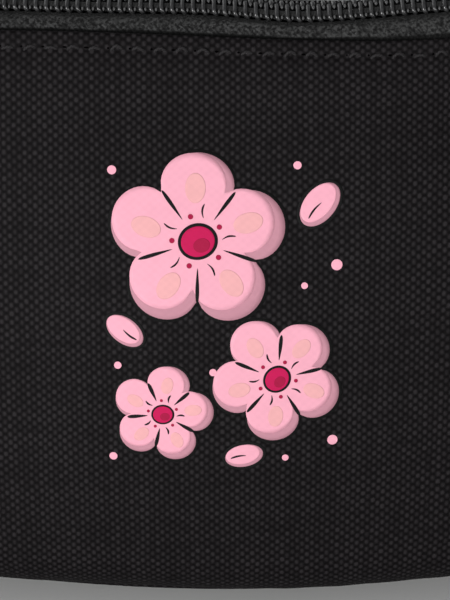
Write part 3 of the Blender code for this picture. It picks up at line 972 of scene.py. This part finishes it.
def enamel_finish():
    """Black enamel; the map's u is the wear, which lays the metal bare where it is high."""
    g = Graph("black enamel")
    wear, _ = g.across()
    chips = g.noise(g.place(), 900.0, 3.0, 0.55)
    bare = g.ease(g.times(wear, g.ease(chips, 0.40, 0.70, 0.3, 1.3)), 0.85, 1.05)
    haze = g.noise(g.place(), 420.0, 3.0)
    black = g.tint(g.ease(haze, 0.3, 0.7), (0.012, 0.012, 0.013), (0.026, 0.026, 0.027))
    g.feed(g.shader.inputs["Metallic"], bare)
    g.bump(g.plus(bare, -0.6, g.noise(g.place(), 800.0)), 0.03 * MM, 0.5)
    return g.surface(g.tint(bare, black, (0.15, 0.147, 0.143)), g.ease(haze, 0.3, 0.7, 0.26, 0.42),
                     Specular_IOR_Level=0.5)


enamel = enamel_finish()


def metal_plate(middle, half_length, half_width, low, high, edge, taper=0.0):
    """Rounded plate: superellipse rings from the middle of its underside round to its top.

    The rim is a half circle in two quarters, and the width grows along x by the taper.
    """
    turn = np.linspace(0.0, 0.5 * math.pi, 5)
    flat = np.linspace(0.96 * min(half_length, half_width), edge, 6)[:-1]
    inset = np.concatenate([flat, edge * (1.0 - np.sin(turn)), edge * (1.0 - np.cos(turn)),
                            flat[::-1]])
    level = np.concatenate([np.full(5, low), low + edge * (1.0 - np.cos(turn)),
                            high - edge * (1.0 - np.sin(turn)), np.full(5, high)])
    angle = full_turn(64)
    length_wave = power_wave(np.cos(angle), PLATE_WAVE)
    x = (half_length - inset[:, None]) * length_wave
    y = (half_width - inset[:, None]) * power_wave(np.sin(angle), PLATE_WAVE)
    y = y * (1.0 + taper * length_wave)
    wear = hump(inset - 0.25 * edge, 0.8 * edge)
    return strip(grid(middle[0] + x, middle[1] + y, level[:, None]), grid(wear[:, None], angle))


def bridge():
    """Arch over the slider: an oval bar up, across and down, with round corners."""
    half, corner = 3.1 * MM, 1.3 * MM
    rise = 2.5 * MM
    quarter = np.linspace(0.0, 0.5 * math.pi, 9)
    out = np.concatenate([np.full(4, half), half - corner + corner * np.cos(quarter),
                          np.linspace(half - corner, 0.0, 6)[1:]])
    up = np.concatenate([np.linspace(-0.4 * MM, rise - corner, 5)[:-1],
                         rise - corner + corner * np.sin(quarter), np.full(5, rise)])
    x = SLIDER_MIDDLE + np.concatenate([out, -out[::-1][1:]])
    z = PLATE_TOP + np.concatenate([up, up[::-1][1:]])
    points, quads, uv = tubes(grid(x, 0.0, z)[None], 0.5 * MM, 14, CROSSWISE, wide=1.8)
    return points, quads, grid(0.45 + 0.35 * np.cos(4.0 * math.pi * uv[:, 1]), uv[:, 0])


def slider_body():
    """Two plates joined by the wedge at the nose, with a flange down each side."""
    middle, nose = (SLIDER_MIDDLE, 0.0), (SLIDER_MIDDLE - 4.8 * MM, 0.0)
    parts = [
        metal_plate(middle, SLIDER_HALF_LENGTH, 5.0 * MM, UNDER_TOP, PLATE_TOP, 0.45 * MM,
                    taper=-0.05),
        metal_plate(middle, SLIDER_HALF_LENGTH, 3.8 * MM, UNDER_TAPE - 1.1 * MM, UNDER_TAPE,
                    0.40 * MM, taper=-0.04),
        metal_plate(nose, 0.9 * MM, 1.5 * MM, UNDER_TAPE - 0.4 * MM, UNDER_TOP + 0.4 * MM,
                    0.2 * MM),
        bridge(),
    ]
    for side in (-1, 1):
        parts.append(metal_plate((SLIDER_MIDDLE + 1.9 * MM, side * 4.0 * MM), 3.5 * MM, 0.6 * MM,
                                 TAPE_TOP + 0.3 * MM, UNDER_TOP + 0.4 * MM, 0.25 * MM))
    return joined(parts)


def pull_plate():
    """Tongue with an eye: sections run from the eye's rim out to the tongue's outline.

    Both rims are superellipses taken at the same angle. Each section is a flat bar with
    quarter-circle edges, and the tongue's field is sunk a little inside its border.
    """
    half, edge = 0.6 * MM, 0.25 * MM
    angle = full_turn(96)
    wave_x, wave_y = power_wave(np.cos(angle), 0.5), power_wave(np.sin(angle), 0.5)
    eye = grid(SLIDER_MIDDLE + EYE_MIDDLE + EYE_HALF_LENGTH * wave_x, EYE_HALF_WIDTH * wave_y)
    rim_x, rim_y = power_wave(np.cos(angle), 0.42), power_wave(np.sin(angle), 0.42)
    rim = grid(SLIDER_MIDDLE + PULL_MIDDLE + PULL_HALF_LENGTH * rim_x,
               (PULL_HALF_WIDTH + PULL_FLARE * rim_x) * rim_y)
    reach = np.linalg.norm(rim - eye, axis=-1)[:, None]
    turn = np.linspace(0.0, 0.5 * math.pi, 5)
    share = np.linspace(0.0, 1.0, 12)[1:-1]
    inner = np.broadcast_to(edge * (1.0 - np.cos(turn)), (96, 5))
    outer = reach - inner[:, ::-1]
    top = np.concatenate([inner, edge + (reach - 2.0 * edge) * share, outer], axis=1)
    border = np.minimum(top, reach - top)
    lift = np.concatenate([edge * np.sin(turn), np.full(10, edge), edge * np.sin(turn)[::-1]])
    height = half - edge + lift - PULL_SINK * ramp(border, 0.85 * MM, 0.10 * MM)
    along = np.concatenate([top, top[:, ::-1]], axis=1)[..., None]
    flat = eye[:, None] + (rim - eye)[:, None] * along / reach[..., None]
    z = PULL_AXIS + np.concatenate([height, -height[:, ::-1]], axis=1)
    rings = np.concatenate([flat, z[..., None]], axis=-1)
    rows, count = rings.shape[:2]
    wear = hump(np.concatenate([border, border[:, ::-1]], axis=1), 0.28 * MM)
    return closed(rings, ring_quads(rows, count, rows), grid(wear, angle[:, None]))


STOP_MIDDLE = CHAIN_RIGHT + 1.5 * MM
stop = metal_plate((STOP_MIDDLE, 0.0), 1.2 * MM, 3.1 * MM, TAPE_TOP + 0.1 * MM, UNDER_TOP, 0.4 * MM)
add_piece("stop_clamp", stop, enamel, replaces="zip_stop")
add_piece("slider_body", slider_body(), enamel, body="slider", replaces="slider")
add_piece("pull_plate", pull_plate(), enamel, body="pull", replaces="pull")

# Webbing tabs.
# A short length of ribbed polyester webbing is folded double over each end of the zip,
# with its loop outwards for the fingers, and stitched down in a box with the same thread.
TAB_START, TAB_END = 91.2 * MM, 111.0 * MM
TAB_HALF_WIDTH = 7.5 * MM
TAB_LOW = TAPE_TOP + 0.3 * MM
TAB_HEIGHT = 2.4 * MM
TAB_DROOP = 2.0 * MM
PLY = 1.06 * MM
RIB_PITCH = 1.15 * MM
WEB_YARN = 0.42 * MM
BOX_STITCH = 2.3 * MM


def webbing_finish():
    """Ribbed webbing: fine warp across the ribs, darker where the weft shows between."""
    g = Graph("black webbing")
    u, v = g.across()
    warp = g.sine(v, 2.0 * math.pi / WEB_YARN)
    late = g.times(g.ease(warp, -0.2, 0.2), math.pi)
    rib = g.calc("COSINE", g.plus(u, 2.0 * math.pi / RIB_PITCH, late))
    fibre = g.noise(g.pack(u, g.times(v, 6.0)), 1500.0, 3.0, 0.6)
    fibre = g.ease(fibre, 0.3, 0.7, 0.6, 1.3)
    weave = g.times(g.ease(rib, -0.9, 0.6), g.ease(g.calc("ABSOLUTE", warp), 0.0, 0.6))
    colour = g.tint(g.times(weave, fibre), (0.004, 0.004, 0.0045), (0.030, 0.030, 0.031))
    g.bump(g.plus(fibre, 0.2, weave), 0.16 * MM, 0.8)
    return g.surface(colour, 0.60, Specular_IOR_Level=0.35, Sheen_Weight=0.15)


webbing = webbing_finish()


def tab_level(x):
    """Height of the middle between the two plies: level, then drooping as a square."""
    past = np.maximum(0.0, x - HALF_LENGTH) / (TAB_END - HALF_LENGTH)
    return TAB_LOW + 0.5 * TAB_HEIGHT - TAB_DROOP * past ** 2


def webbing_tab(place, side):
    """Ribbon of oval-edged section out along the top ply, round the fold and back below."""
    apart = 0.5 * (TAB_HEIGHT - PLY)
    fold_x = TAB_END - 0.5 * TAB_HEIGHT
    run = np.linspace(TAB_START + 0.2 * MM, fold_x, 130)
    back = np.linspace(fold_x, TAB_START + 0.9 * MM, 100)
    turn = np.linspace(0.5 * math.pi, -0.5 * math.pi, 15)[1:-1]
    x = np.concatenate([run, fold_x + apart * np.cos(turn), back])
    z = np.concatenate([tab_level(run) + apart, tab_level(fold_x) + apart * np.sin(turn),
                        tab_level(back) - apart])
    sewn = ramp(x, HALF_LENGTH, -0.8 * MM)
    length = run_length(x, z)
    angle = full_turn(56)
    across = TAB_HALF_WIDTH * power_wave(np.cos(angle), 0.5)
    thick = 0.5 * PLY * power_wave(np.sin(angle), 0.35)
    selvedge = 1.0 - 0.10 * hump(np.abs(across) - 6.3 * MM, 0.35 * MM)
    rib = 1.0 - 0.06 * (1.0 + np.cos(2.0 * math.pi * length / RIB_PITCH))
    thick = thick * selvedge * (rib * (1.0 - 0.10 * sewn))[:, None]
    run_x, run_z = np.gradient(x), np.gradient(z)
    size = np.hypot(run_x, run_z)
    rings = grid(side * (x[:, None] - thick * (run_z / size)[:, None]), across,
                 z[:, None] + thick * (run_x / size)[:, None])
    add_piece(f"webbing_tab_{place}", strip(rings, grid(length[:, None], across)), webbing,
              replaces=f"tab_{place}")


def box_stitches(place, side):
    """Stitches round a rectangle and along its two diagonals, on the top ply."""
    x_low, x_high, y_high = TAB_START + 1.3 * MM, HALF_LENGTH - 0.9 * MM, 5.9 * MM
    corners = [(x_low, -y_high), (x_high, -y_high), (x_high, y_high), (x_low, y_high)]
    runs = list(zip(corners, corners[1:] + corners[:1])) + [(corners[0], corners[2]),
                                                            (corners[1], corners[3])]
    share = np.linspace(0.0, 1.0, 9)
    surface_z = TAB_LOW + 0.5 * TAB_HEIGHT + 0.5 * (TAB_HEIGHT - PLY) + 0.44 * PLY
    paths = []
    for start, end in runs:
        start, end = np.array(start), np.array(end)
        count = int(round(np.linalg.norm(end - start) / BOX_STITCH))
        for n in range(count):
            part = (n + 0.08 + 0.84 * share)[:, None] / count
            flat = start + (end - start) * part
            lift = 0.26 * MM * arch(share, 0.6) - 0.14 * MM
            paths.append(np.column_stack([side * flat[:, 0], flat[:, 1], surface_z + lift]))
    add_piece(f"tab_stitches_{place}", tubes(np.stack(paths), THREAD, 6, UPRIGHT), thread)


for place, side in (("left", -1), ("right", 1)):
    webbing_tab(place, side)
    box_stitches(place, side)
